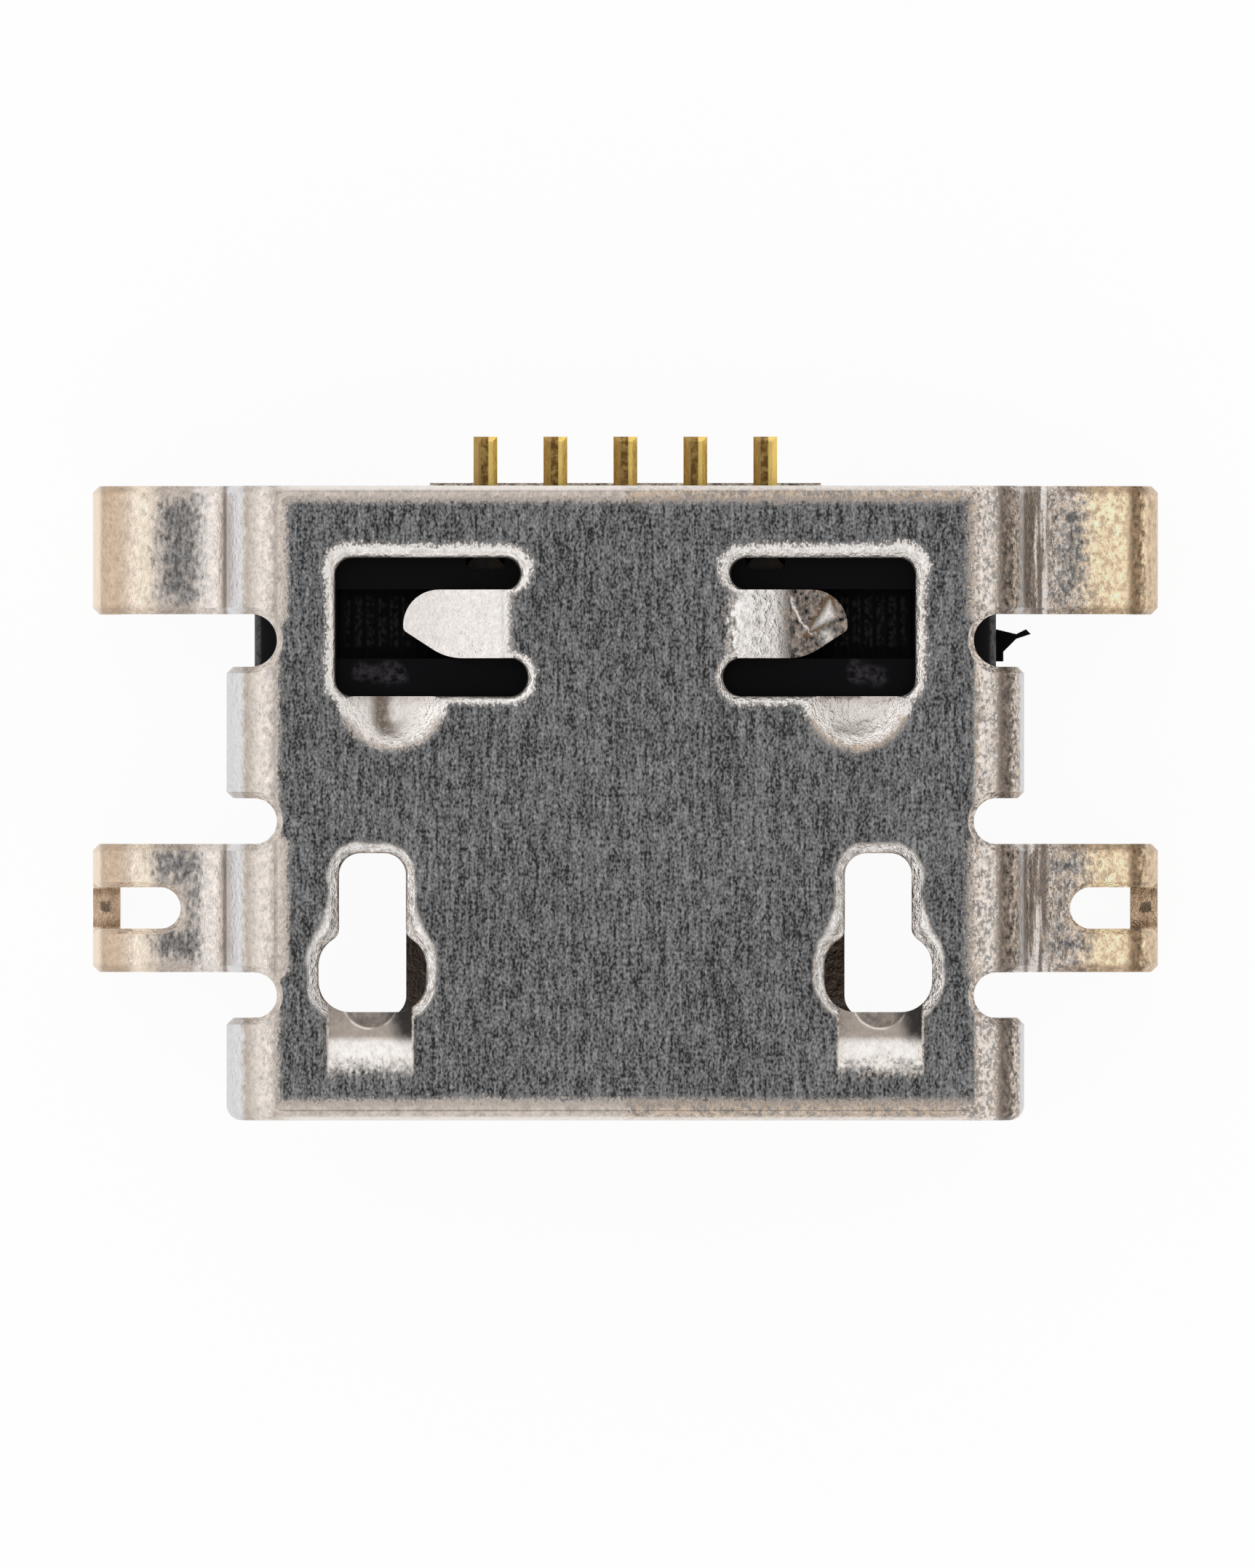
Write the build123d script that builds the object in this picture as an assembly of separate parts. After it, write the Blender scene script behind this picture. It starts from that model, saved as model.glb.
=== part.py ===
from build123d import *
import os
from math import atan2, pi, sqrt, tan

# Micro USB socket, type B, five contacts, sunk into a board cut-out on four legs.
# Sizes are in millimetres. x runs across the mouth, y from the mouth to the tails, z up from the board.
# Each function measures y from the edge of the mouth. The origin is set at the end, between the legs.

# Folded sheet and the mouth that it encloses
SHEET = 0.25
MOUTH_WIDTH = 6.90
MOUTH_HEIGHT = 1.85
NARROW_WIDTH = 5.40
SIDE_HEIGHT = 1.10
TOP_BEND = 0.30
LOW_BEND = 0.20
SINK = 1.175
NEUTRAL_LAYER = 0.42  # share of the sheet, from the inner side of a bend, that keeps its length

# Lengths along one side of the shell, in order from the mouth
FRONT_WALL = 0.95
RELIEF = 0.425
EAR_WIDTH = 1.19
MIDDLE_WALL = 1.22
REAR_RELIEF = 0.49

# Ears and legs
EAR_SPAN = 9.90
EAR_RISE_RADIUS = 0.26
EAR_KNEE_RADIUS = 0.45
LEG_DROP = 1.22
LEG_TIP_RADIUS = 0.22
EAR_SLOT_WIDTH = 0.385
EAR_SLOT_INNER_END = 4.13
EAR_SLOT_DROP = 0.45
RELIEF_INNER_END = 3.23
OPENING_CORNER = 0.20

# Rolled edges, from the punch
EDGE_ROLL = 0.09
SIDE_ROLL = 0.06
REAR_ROLL = 0.09
SLOT_ROLL = 0.05
MOUTH_ROLL = 0.14
MOUTH_LEAD_IN = 0.05

# Latch windows in the wide wall, shaped like keyholes
KEYHOLE_OFFSET = 2.345
KEYHOLE_FRONT = 1.005
KEYHOLE_WIDE = 1.00
KEYHOLE_WIDE_LENGTH = 0.72
KEYHOLE_WIDE_CORNER = 0.29
KEYHOLE_NARROW = 0.62
KEYHOLE_LENGTH = 1.475
KEYHOLE_NARROW_CORNER = 0.20
KEYHOLE_SHOULDER = 0.12

# Spring lances between the mouth and the latch windows
LANCE_WIDTH = 0.80
LANCE_OFFSET = 2.365
LANCE_ROOT = 0.42
LANCE_KNEE = 0.40
LANCE_KNEE_DIP = 0.20
LANCE_TIP_DIP = 0.24
LANCE_BEND = 0.30
LANCE_SCOOP_RADIUS = 0.25
LANCE_SCOOP_SAG = 0.145
LANCE_SCOOP_DEPTH = 0.05

# Rear windows, each with a latch tongue that bends down into the housing
WINDOW_OUTER = 2.69
WINDOW_REAR_MARGIN = 0.67
WINDOW_CORNER = 0.16
REAR_BAR = 0.295
FRONT_BAR = 0.355
REAR_BAR_END = 0.975
FRONT_BAR_END = 0.905
LATCH_WIDTH = 0.635
LATCH_ROOT = 1.06
LATCH_STUB = 0.24
LATCH_STUB_CORNER = 0.07
LATCH_TIP = 2.06
LATCH_BEND = 0.35
LEFT_LATCH_KNEE = 0.55
LEFT_LATCH_KNEE_DIP = 0.22
LEFT_LATCH_TIP_DIP = 0.37
RIGHT_LATCH_KNEE = 0.42
RIGHT_LATCH_KNEE_DIP = 0.20
RIGHT_LATCH_TIP_DIP = 0.26
LATCH_NOSE = 0.26
LATCH_NOSE_LENGTH = 0.40
LATCH_NOSE_RADIUS = 0.06
LATCH_FRONT_RADIUS = 0.50
LATCH_REAR_RADIUS = 0.33

# Domed stakes pressed into the front edge of each rear window
STAKE_OFFSET = 2.15
STAKE_RADIUS = 0.46
STAKE_DEPTH = 0.20

# Seam down the middle of the narrow wall, locked by a dovetail
SEAM_GAP = 0.03
DOVETAIL_PLACE = 3.10
DOVETAIL_NECK = 0.70
DOVETAIL_HEAD = 1.00
DOVETAIL_REACH = 0.55

# Low tab that stands out at the rear of the narrow wall
REAR_TAB_WIDTH = 3.64
REAR_TAB = 0.035

# Moulded housing
HOUSING_FIT = 0.01
TONGUE_WIDTH = 3.50
TONGUE_THICKNESS = 0.58
TONGUE_SETBACK = 0.55
TONGUE_NOSE = 0.14
POCKET_OUTER = 2.68
POCKET_DEPTH = 0.55
POCKET_CLEARANCE = 0.005
POCKET_RIB_PITCH = 0.11
POCKET_RIB_HEIGHT = 0.03
SLOT_WIDTH = 0.36
SLOT_START = 0.77
SLOT_LENGTH = 0.40

# Contacts
CONTACT_NAMES = ["contact_vbus", "contact_d_minus", "contact_d_plus", "contact_id", "contact_gnd"]
CONTACT_PITCH = 0.65
CONTACT_THICKNESS = 0.15
CONTACT_PROUD = 0.02
BLADE_WIDTH = 0.38
BLADE_SETBACK = 0.22
BLADE_NOSE = 0.08
TAIL_WIDTH = 0.22
TAIL_REACH = 0.46
TAIL_START = 0.75
TAIL_COIN = 0.045

# Thin skin of plastic that squeezed out of the mould beside the rear relief
FLASH_THICKNESS = 0.04
FLASH_HEIGHT = 0.30
FLASH_PLACE = 4.26
FLASH_LENGTH = 0.30
FLASH_REACH = 0.325
FLASH_BASE = 0.07
FLASH_TAIL_WIDTH = 0.045

# How far a tongue is laid into the wall that it grows from, and how close two places count as one
ROOT_OVERLAP = 0.02
TINY = 0.001

# Heights, from the board's upper face
BOTTOM_OUT = -SINK
BOTTOM_IN = BOTTOM_OUT + SHEET
TOP_IN = BOTTOM_IN + MOUTH_HEIGHT
TOP_OUT = TOP_IN + SHEET
EAR_TOP = SHEET
EAR_BEND_START = EAR_TOP + EAR_RISE_RADIUS

# Places along the side, from the mouth
FRONT_EAR_START = FRONT_WALL + RELIEF
FRONT_EAR_END = FRONT_EAR_START + EAR_WIDTH
MIDDLE_WALL_START = FRONT_EAR_END + RELIEF
MIDDLE_WALL_END = MIDDLE_WALL_START + MIDDLE_WALL
REAR_EAR_START = MIDDLE_WALL_END + REAR_RELIEF
SHELL_DEPTH = REAR_EAR_START + EAR_WIDTH
LEG_CENTRE = (FRONT_EAR_START + FRONT_EAR_END + REAR_EAR_START + SHELL_DEPTH) / 4

# Half widths
SIDE_IN = MOUTH_WIDTH / 2
SIDE_OUT = SIDE_IN + SHEET
LEG_OUT = EAR_SPAN / 2

# Places of the rear windows, from the mouth
WINDOW_REAR = SHELL_DEPTH - WINDOW_REAR_MARGIN
LATCH_REAR = WINDOW_REAR - REAR_BAR
LATCH_FRONT = LATCH_REAR - LATCH_WIDTH
WINDOW_FRONT = LATCH_FRONT - FRONT_BAR

# Heights of the tongue that carries the contacts
TONGUE_BOTTOM = CONTACT_PROUD
TONGUE_TOP = TONGUE_BOTTOM + TONGUE_THICKNESS


def plan_prism(sketch, low, high):
    """Upright prism between two heights over a flat sketch drawn in plan."""
    return extrude(Pos(0, 0, low) * sketch, amount=high - low)


def on_both_sides(solid):
    """The solid and its mirror image across the middle of the mouth."""
    return [solid, mirror(solid, about=Plane.YZ)]


def sheet_section(path):
    """Section of bent sheet: the path is its outer side, and the sheet's thickness lies on its right."""
    return make_face(offset(path, amount=SHEET, side=Side.RIGHT))


def dipping_path(root, knee, knee_dip, tip, tip_dip, bend):
    """Outer side of a tongue that leaves the wide wall at its root, dips to a knee and goes on to its tip."""
    slope = atan2(knee_dip, knee)
    start = bend * tan(slope / 2)
    return FilletPolyline(
        (root - ROOT_OVERLAP, TOP_OUT),
        (root + start, TOP_OUT),
        (root + start + knee, TOP_OUT - knee_dip),
        (tip, TOP_OUT - tip_dip),
        radius=[bend, bend],
    )


def mouth_section():
    """Clear section of the mouth: wide above, with slanted lower corners."""
    half_narrow = NARROW_WIDTH / 2
    side_foot = TOP_IN - SIDE_HEIGHT
    corners = [
        (-SIDE_IN, TOP_IN),
        (SIDE_IN, TOP_IN),
        (SIDE_IN, side_foot),
        (half_narrow, BOTTOM_IN),
        (-half_narrow, BOTTOM_IN),
        (-SIDE_IN, side_foot),
    ]
    bends = [TOP_BEND, TOP_BEND, LOW_BEND, LOW_BEND, LOW_BEND, LOW_BEND]
    return make_face(FilletPolyline(corners, radius=bends, close=True))


def shell_tube():
    """Folded tube before its windows are cut, with rolled rims at both ends."""
    clear = mouth_section()
    wall = offset(clear, amount=SHEET) - clear
    tube = extrude(Plane.XZ * wall, amount=SHELL_DEPTH, dir=(0, 1, 0))
    front_rim = tube.faces().sort_by(Axis.Y)[0].outer_wire().edges()
    tube = fillet(front_rim, MOUTH_ROLL)
    rear_rim = tube.faces().sort_by(Axis.Y)[-1].outer_wire().edges()
    tube = fillet(rear_rim, REAR_ROLL)
    mouth_rim = tube.faces().sort_by(Axis.Y)[0].inner_wires()[0].edges()
    return chamfer(mouth_rim, MOUTH_LEAD_IN)


def flat_blank_reach():
    """How far an ear and its leg reach when they are laid flat, from the top of the ear's first bend."""
    neutral = NEUTRAL_LAYER * SHEET
    first_bend = (EAR_RISE_RADIUS + neutral) * pi / 2
    second_bend = (EAR_KNEE_RADIUS - SHEET + neutral) * pi / 2
    flat = LEG_OUT - EAR_KNEE_RADIUS - SIDE_OUT - EAR_RISE_RADIUS
    leg = LEG_DROP - (EAR_KNEE_RADIUS - EAR_TOP)
    return first_bend + flat + second_bend + leg


def opening_inner_edge():
    """The ear's blank comes out of the side, the slant and the narrow wall, so it sets where the gap ends."""
    slant_rise = MOUTH_HEIGHT - SIDE_HEIGHT
    slant_run = (MOUTH_WIDTH - NARROW_WIDTH) / 2
    mitre = SHEET / 2 * tan(atan2(slant_rise, slant_run) / 2)
    side = EAR_BEND_START - (TOP_IN - SIDE_HEIGHT) + mitre
    slant = sqrt(slant_rise**2 + slant_run**2) + 2 * mitre
    left_over = flat_blank_reach() - side - slant
    return NARROW_WIDTH / 2 + mitre - left_over


def side_opening(start, end):
    """Gap in the side and narrow wall that is left where the ears were folded out."""
    inner = opening_inner_edge()
    outer = SIDE_OUT + SHEET
    middle = ((inner + outer) / 2, (start + end) / 2)
    outline = Pos(*middle) * RectangleRounded(outer - inner, end - start, OPENING_CORNER)
    return plan_prism(outline, BOTTOM_OUT - SHEET, EAR_BEND_START)


def relief(start, width):
    """Round-ended notch beside an ear, which lets it fold without tearing."""
    radius = width / 2
    reach = SIDE_OUT + SHEET - RELIEF_INNER_END - radius
    round_end = Pos(RELIEF_INNER_END + radius, start + radius) * Circle(radius)
    straight = Pos(RELIEF_INNER_END + radius + reach / 2, start + radius) * Rectangle(reach, width)
    return plan_prism(round_end + straight, BOTTOM_OUT - SHEET, TOP_OUT + SHEET)


def ear(start):
    """One ear: out of the side wall, flat on the board, and down through it as a leg."""
    path = FilletPolyline(
        (SIDE_OUT, EAR_BEND_START + ROOT_OVERLAP),
        (SIDE_OUT, EAR_TOP),
        (LEG_OUT, EAR_TOP),
        (LEG_OUT, -LEG_DROP),
        radius=[EAR_RISE_RADIUS, EAR_KNEE_RADIUS],
    )
    section = Plane.XZ * sheet_section(path)
    plain = Pos(0, start, 0) * extrude(section, amount=EAR_WIDTH, dir=(0, 1, 0))
    tips = plain.edges().filter_by(Axis.X).group_by(Axis.Z)[0]
    plain = fillet(tips, LEG_TIP_RADIUS)
    flat_sides = plain.edges().filter_by(Axis.X).filter_by_position(Axis.Z, EAR_TOP - TINY, EAR_TOP + TINY)
    return chamfer(flat_sides, SIDE_ROLL)


def with_ear_slot(plain_ear):
    """Cuts the slot over the knee of a front ear, from the flat part down into the leg."""
    radius = EAR_SLOT_WIDTH / 2
    centre = (FRONT_EAR_START + FRONT_EAR_END) / 2
    reach = LEG_OUT + SHEET - EAR_SLOT_INNER_END - radius
    round_end = Pos(EAR_SLOT_INNER_END + radius, centre) * Circle(radius)
    straight = Pos(EAR_SLOT_INNER_END + radius + reach / 2, centre) * Rectangle(reach, EAR_SLOT_WIDTH)
    slotted = plain_ear - plan_prism(round_end + straight, -EAR_SLOT_DROP, TOP_OUT)
    slot_end = Vertex(EAR_SLOT_INNER_END, centre, EAR_TOP)
    return chamfer(slotted.edges().sort_by_distance(slot_end)[0], SLOT_ROLL)


def keyhole():
    """Outline of a latch window: wide towards the mouth and narrow behind."""
    wide_middle = KEYHOLE_FRONT + KEYHOLE_WIDE_LENGTH / 2
    wide = Pos(KEYHOLE_OFFSET, wide_middle) * RectangleRounded(
        KEYHOLE_WIDE, KEYHOLE_WIDE_LENGTH, KEYHOLE_WIDE_CORNER
    )
    narrow_length = KEYHOLE_LENGTH - KEYHOLE_WIDE_LENGTH / 2
    narrow_middle = KEYHOLE_FRONT + KEYHOLE_LENGTH - narrow_length / 2
    narrow = Pos(KEYHOLE_OFFSET, narrow_middle) * RectangleRounded(
        KEYHOLE_NARROW, narrow_length, KEYHOLE_NARROW_CORNER
    )
    outline = wide + narrow
    shoulder_line = KEYHOLE_FRONT + KEYHOLE_WIDE_LENGTH
    shoulders = outline.vertices().filter_by_position(
        Axis.Y, shoulder_line - SHEET, shoulder_line + SHEET
    )
    inner_corners = [v for v in shoulders if abs(abs(v.X - KEYHOLE_OFFSET) - KEYHOLE_NARROW / 2) < TINY]
    return fillet(inner_corners, KEYHOLE_SHOULDER)


def window_bar(inner_end, front, width):
    """One arm of a rear window, round at its inner end."""
    radius = width / 2
    reach = WINDOW_OUTER - inner_end - radius
    round_end = Pos(inner_end + radius, front + radius) * Circle(radius)
    straight = Pos(inner_end + radius + reach / 2, front + radius) * Rectangle(reach, width)
    return round_end + straight


def rear_window():
    """Outline of a rear window, with a stub of the wall left at the latch tongue's root."""
    front_arm = window_bar(FRONT_BAR_END, WINDOW_FRONT, FRONT_BAR)
    rear_arm = window_bar(REAR_BAR_END, LATCH_REAR, REAR_BAR)
    stub_end = LATCH_ROOT + LATCH_STUB
    latch_middle = (LATCH_FRONT + LATCH_REAR) / 2
    gap = Pos((WINDOW_OUTER + stub_end) / 2, latch_middle) * Rectangle(WINDOW_OUTER - stub_end, LATCH_WIDTH)
    outline = front_arm + rear_arm + gap
    outer_corners = outline.vertices().group_by(Axis.X)[-1]
    ends = [v for v in outer_corners if abs(v.Y - latch_middle) > LATCH_WIDTH / 2 + TINY]
    outline = fillet(ends, WINDOW_CORNER)
    stub_corners = [v for v in outline.vertices() if abs(v.X - stub_end) < TINY]
    return fillet(stub_corners, LATCH_STUB_CORNER)


def latch_gap():
    """Takes the stub away, so that the latch tongue can start its bend at the root."""
    reach = LATCH_STUB + LATCH_STUB_CORNER
    middle = Pos(LATCH_ROOT + reach / 2, (LATCH_FRONT + LATCH_REAR) / 2)
    return plan_prism(middle * Rectangle(reach, LATCH_WIDTH), TOP_IN - SHEET, TOP_OUT + SHEET)


def rolled_window(shell, outline, roll):
    """Cuts a window through the wide wall and breaks its upper edge, with a fillet or a chamfer as the roll."""
    cut = shell - plan_prism(outline, TOP_IN - SHEET, TOP_OUT + SHEET)
    box = outline.bounding_box()
    rim = [
        edge
        for edge in cut.edges().group_by(Axis.Z)[-1]
        if box.min.X - TINY < edge.center().X < box.max.X + TINY
        and box.min.Y - TINY < edge.center().Y < box.max.Y + TINY
    ]
    return roll(rim, EDGE_ROLL)


def lance():
    """Spring lance that dips into the mouth in front of a latch window, scooped at its free edge."""
    tip = KEYHOLE_FRONT + KEYHOLE_WIDE_CORNER
    path = dipping_path(LANCE_ROOT, LANCE_KNEE, LANCE_KNEE_DIP, tip, LANCE_TIP_DIP, LANCE_BEND)
    section = Plane.YZ * sheet_section(path)
    blade = Pos(LANCE_OFFSET - LANCE_WIDTH / 2, 0, 0) * extrude(section, amount=LANCE_WIDTH, dir=(1, 0, 0))
    blade = blade - plan_prism(keyhole(), BOTTOM_IN, TOP_OUT + SHEET)
    scoop_centre = KEYHOLE_FRONT - LANCE_SCOOP_SAG + LANCE_SCOOP_RADIUS
    scoop_floor = TOP_OUT - LANCE_TIP_DIP - LANCE_SCOOP_DEPTH
    scoop = plan_prism(Pos(LANCE_OFFSET, scoop_centre) * Circle(LANCE_SCOOP_RADIUS), scoop_floor, TOP_OUT)
    return blade - scoop


def lance_slot():
    """Place of the lance in the wide wall, sheared on both sides."""
    length = KEYHOLE_FRONT + KEYHOLE_WIDE_CORNER - LANCE_ROOT
    outline = Pos(LANCE_OFFSET, LANCE_ROOT + length / 2) * Rectangle(LANCE_WIDTH, length)
    return plan_prism(outline, TOP_IN - SHEET, TOP_OUT + SHEET)


def latch_outline():
    """Plan of a latch tongue, with a lopsided round tip."""
    nose = LATCH_FRONT + LATCH_NOSE
    shape = FilletPolyline(
        (LATCH_ROOT - SHEET, LATCH_FRONT),
        (LATCH_TIP - LATCH_NOSE_LENGTH, LATCH_FRONT),
        (LATCH_TIP, nose),
        (LATCH_TIP, LATCH_REAR),
        (LATCH_ROOT - SHEET, LATCH_REAR),
        radius=[0, LATCH_FRONT_RADIUS, LATCH_NOSE_RADIUS, LATCH_REAR_RADIUS, 0],
        close=True,
    )
    return make_face(shape)


def latch(knee, knee_dip, tip_dip):
    """Latch tongue that is bent down into the housing's pocket and holds it."""
    tip = LATCH_TIP + SHEET
    path = dipping_path(LATCH_ROOT, knee, knee_dip, tip, tip_dip, LATCH_BEND)
    section = Plane.XZ * sheet_section(path)
    bent = Pos(0, LATCH_FRONT, 0) * extrude(section, amount=LATCH_WIDTH, dir=(0, 1, 0))
    return bent & plan_prism(latch_outline(), BOTTOM_OUT, TOP_OUT + SHEET)


def with_stake(shell, side):
    """Presses half a dome into the wide wall, against the front edge of a rear window."""
    radius = (STAKE_RADIUS**2 + STAKE_DEPTH**2) / (2 * STAKE_DEPTH)
    centre = Pos(side * STAKE_OFFSET, WINDOW_FRONT, TOP_OUT + radius - STAKE_DEPTH)
    reach = STAKE_RADIUS + 2 * SHEET
    front_half = Pos(side * STAKE_OFFSET, WINDOW_FRONT - reach / 2, TOP_IN - reach / 2)
    skin = centre * Sphere(radius + SHEET) & front_half * Box(2 * reach, reach, reach)
    return shell + skin - centre * Sphere(radius)


def seam():
    """Thin gap where the two edges of the sheet meet, with a dovetail in it."""
    neck_front = DOVETAIL_PLACE - DOVETAIL_NECK / 2
    neck_rear = DOVETAIL_PLACE + DOVETAIL_NECK / 2
    head_front = DOVETAIL_PLACE - DOVETAIL_HEAD / 2
    head_rear = DOVETAIL_PLACE + DOVETAIL_HEAD / 2
    line = Polyline(
        (0, -SHEET),
        (0, neck_front),
        (DOVETAIL_REACH, head_front),
        (DOVETAIL_REACH, head_rear),
        (0, neck_rear),
        (0, SHELL_DEPTH + SHEET),
    )
    return plan_prism(trace(line, SEAM_GAP), BOTTOM_OUT - SHEET, BOTTOM_IN + SHEET)


def rear_tab():
    """Tab on the rear edge of the narrow wall, long enough to reach under the wall's rolled edge."""
    length = REAR_TAB + 2 * REAR_ROLL
    middle = (0, SHELL_DEPTH + REAR_TAB - length / 2, (BOTTOM_OUT + BOTTOM_IN) / 2)
    return Pos(*middle) * Box(REAR_TAB_WIDTH, length, SHEET)


def open_sides(tube):
    """Cuts the gaps and reliefs for the ears, then rolls their outer edges.

    One edge runs from the front relief round the gap below it to the middle relief, so two rolls do it all.
    """
    gaps = [
        side_opening(FRONT_WALL, MIDDLE_WALL_START),
        side_opening(MIDDLE_WALL_END, SHELL_DEPTH + 2 * OPENING_CORNER),
    ]
    reliefs = [(FRONT_WALL, RELIEF), (FRONT_EAR_END, RELIEF), (MIDDLE_WALL_END, REAR_RELIEF)]
    for cut in gaps + [relief(start, width) for start, width in reliefs]:
        for side_cut in on_both_sides(cut):
            tube = tube - side_cut
    for start, width in (reliefs[0], reliefs[-1]):
        for side in (-1, 1):
            round_end = Vertex(side * RELIEF_INNER_END, start + width / 2, TOP_OUT)
            tube = chamfer(tube.edges().sort_by_distance(round_end)[0], SIDE_ROLL)
    return tube


def make_shell():
    """Stamped and folded shell with its ears, windows, lances, latches and stakes."""
    shell = open_sides(shell_tube()) + rear_tab() - seam()
    for outline, roll in [(keyhole(), chamfer), (rear_window(), fillet)]:
        for side_outline in on_both_sides(outline):
            shell = rolled_window(shell, side_outline, roll)
    for side in (-1, 1):
        shell = with_stake(shell, side)
    for gap in [lance_slot(), latch_gap()]:
        for side_gap in on_both_sides(gap):
            shell = shell - side_gap
    front_ear = with_ear_slot(ear(FRONT_EAR_START))
    rear_ear = ear(REAR_EAR_START)
    left_latch = mirror(latch(LEFT_LATCH_KNEE, LEFT_LATCH_KNEE_DIP, LEFT_LATCH_TIP_DIP), about=Plane.YZ)
    right_latch = latch(RIGHT_LATCH_KNEE, RIGHT_LATCH_KNEE_DIP, RIGHT_LATCH_TIP_DIP)
    for piece in [front_ear, rear_ear, lance()]:
        for side_piece in on_both_sides(piece):
            shell = shell + side_piece
    return shell + left_latch + right_latch


def contact_place(index):
    """Where a contact lies across the mouth, first to last from left to right."""
    return (index - (len(CONTACT_NAMES) - 1) / 2) * CONTACT_PITCH


def make_contact(index):
    """One contact: a wide blade under the tongue and a narrow tail, cut from one straight strip."""
    half_blade = BLADE_WIDTH / 2
    half_tail = TAIL_WIDTH / 2
    front = TONGUE_SETBACK + BLADE_SETBACK
    neck = SHELL_DEPTH - TAIL_START
    shoulder = half_blade - half_tail
    outline = Polyline(
        (-half_blade + BLADE_NOSE, front),
        (half_blade - BLADE_NOSE, front),
        (half_blade, front + BLADE_NOSE),
        (half_blade, neck),
        (half_tail, neck + shoulder),
        (half_tail, SHELL_DEPTH + TAIL_REACH),
        (-half_tail, SHELL_DEPTH + TAIL_REACH),
        (-half_tail, neck + shoulder),
        (-half_blade, neck),
        (-half_blade, front + BLADE_NOSE),
        close=True,
    )
    strip_solid = extrude(make_face(outline), amount=CONTACT_THICKNESS)
    top_edges = strip_solid.edges().group_by(Axis.Z)[-1]
    tail_edges = [e for e in top_edges if e.center().Y > neck + shoulder]
    return Pos(contact_place(index), 0, 0) * chamfer(tail_edges, TAIL_COIN)


def housing_pocket():
    """Pocket under a latch, with fine mould ribs across its floor."""
    length = LATCH_WIDTH + 2 * POCKET_CLEARANCE
    inner = LATCH_ROOT - SHEET
    width = POCKET_OUTER - inner
    middle_y = (LATCH_FRONT + LATCH_REAR) / 2
    floor = TOP_IN - POCKET_DEPTH
    hollow = Pos((POCKET_OUTER + inner) / 2, middle_y, (floor + TOP_IN + SHEET) / 2) * Box(
        width, length, POCKET_DEPTH + SHEET
    )
    count = int(width / POCKET_RIB_PITCH)
    for index in range(count):
        rib = Box(POCKET_RIB_PITCH / 2, length, POCKET_RIB_HEIGHT)
        place = inner + (index + 0.5) * width / count
        hollow = hollow - Pos(place, middle_y, floor + POCKET_RIB_HEIGHT / 2) * rib
    return hollow


def contact_slot(index):
    """Opening in the top of the housing over a contact's neck."""
    start = SHELL_DEPTH - SLOT_START
    middle = start + SLOT_LENGTH / 2
    height = TOP_IN + SHEET - CONTACT_THICKNESS
    return Pos(contact_place(index), middle, CONTACT_THICKNESS + height / 2) * Box(
        SLOT_WIDTH, SLOT_LENGTH, height
    )


def housing_tongue():
    """Flat tongue over the contacts, with a bevelled nose."""
    length = WINDOW_FRONT + SHEET - TONGUE_SETBACK
    plate = Pos(0, TONGUE_SETBACK + length / 2, (TONGUE_BOTTOM + TONGUE_TOP) / 2) * Box(
        TONGUE_WIDTH, length, TONGUE_THICKNESS
    )
    nose = plate.faces().sort_by(Axis.Y)[0].edges()
    return chamfer(nose, TONGUE_NOSE)


def mould_flash():
    """Ragged wisp of plastic left on the housing's right side, with a thin tail."""
    root = SIDE_IN - HOUSING_FIT
    tip = root + FLASH_REACH
    rear = FLASH_PLACE + FLASH_LENGTH
    outline = Polyline(
        (root - SHEET, FLASH_PLACE),
        (root + FLASH_BASE, FLASH_PLACE),
        (root + FLASH_BASE, FLASH_PLACE + 2 * FLASH_TAIL_WIDTH),
        (tip - 3 * FLASH_TAIL_WIDTH, rear - 2 * FLASH_TAIL_WIDTH),
        (tip, rear - FLASH_TAIL_WIDTH),
        (tip - FLASH_TAIL_WIDTH, rear),
        (tip - 3 * FLASH_TAIL_WIDTH, rear - FLASH_TAIL_WIDTH),
        (root, rear),
        (root - SHEET, rear),
        close=True,
    )
    return Pos(0, 0, FLASH_HEIGHT) * extrude(make_face(outline), amount=FLASH_THICKNESS)


def make_housing(contacts):
    """Moulded block that fills the rear of the shell and carries the tongue and the contacts."""
    section = offset(mouth_section(), amount=-HOUSING_FIT)
    length = SHELL_DEPTH - WINDOW_FRONT
    housing = Pos(0, WINDOW_FRONT, 0) * extrude(Plane.XZ * section, amount=length, dir=(0, 1, 0))
    housing = housing + housing_tongue()
    for pocket in on_both_sides(housing_pocket()):
        housing = housing - pocket
    for index in range(len(CONTACT_NAMES)):
        housing = housing - contact_slot(index)
    for contact in contacts:
        housing = housing - contact
    return housing + mould_flash()


def save(solid, name):
    """Moves a piece so that the origin is between the legs, and writes it."""
    export_step(Pos(0, -LEG_CENTRE, 0) * solid, f"parts/{name}.step")


def main():
    os.makedirs("parts", exist_ok=True)
    contacts = [make_contact(index) for index in range(len(CONTACT_NAMES))]
    save(make_shell(), "shell")
    save(make_housing(contacts), "housing")
    for name, contact in zip(CONTACT_NAMES, contacts):
        save(contact, name)


main()
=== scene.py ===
import math

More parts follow.
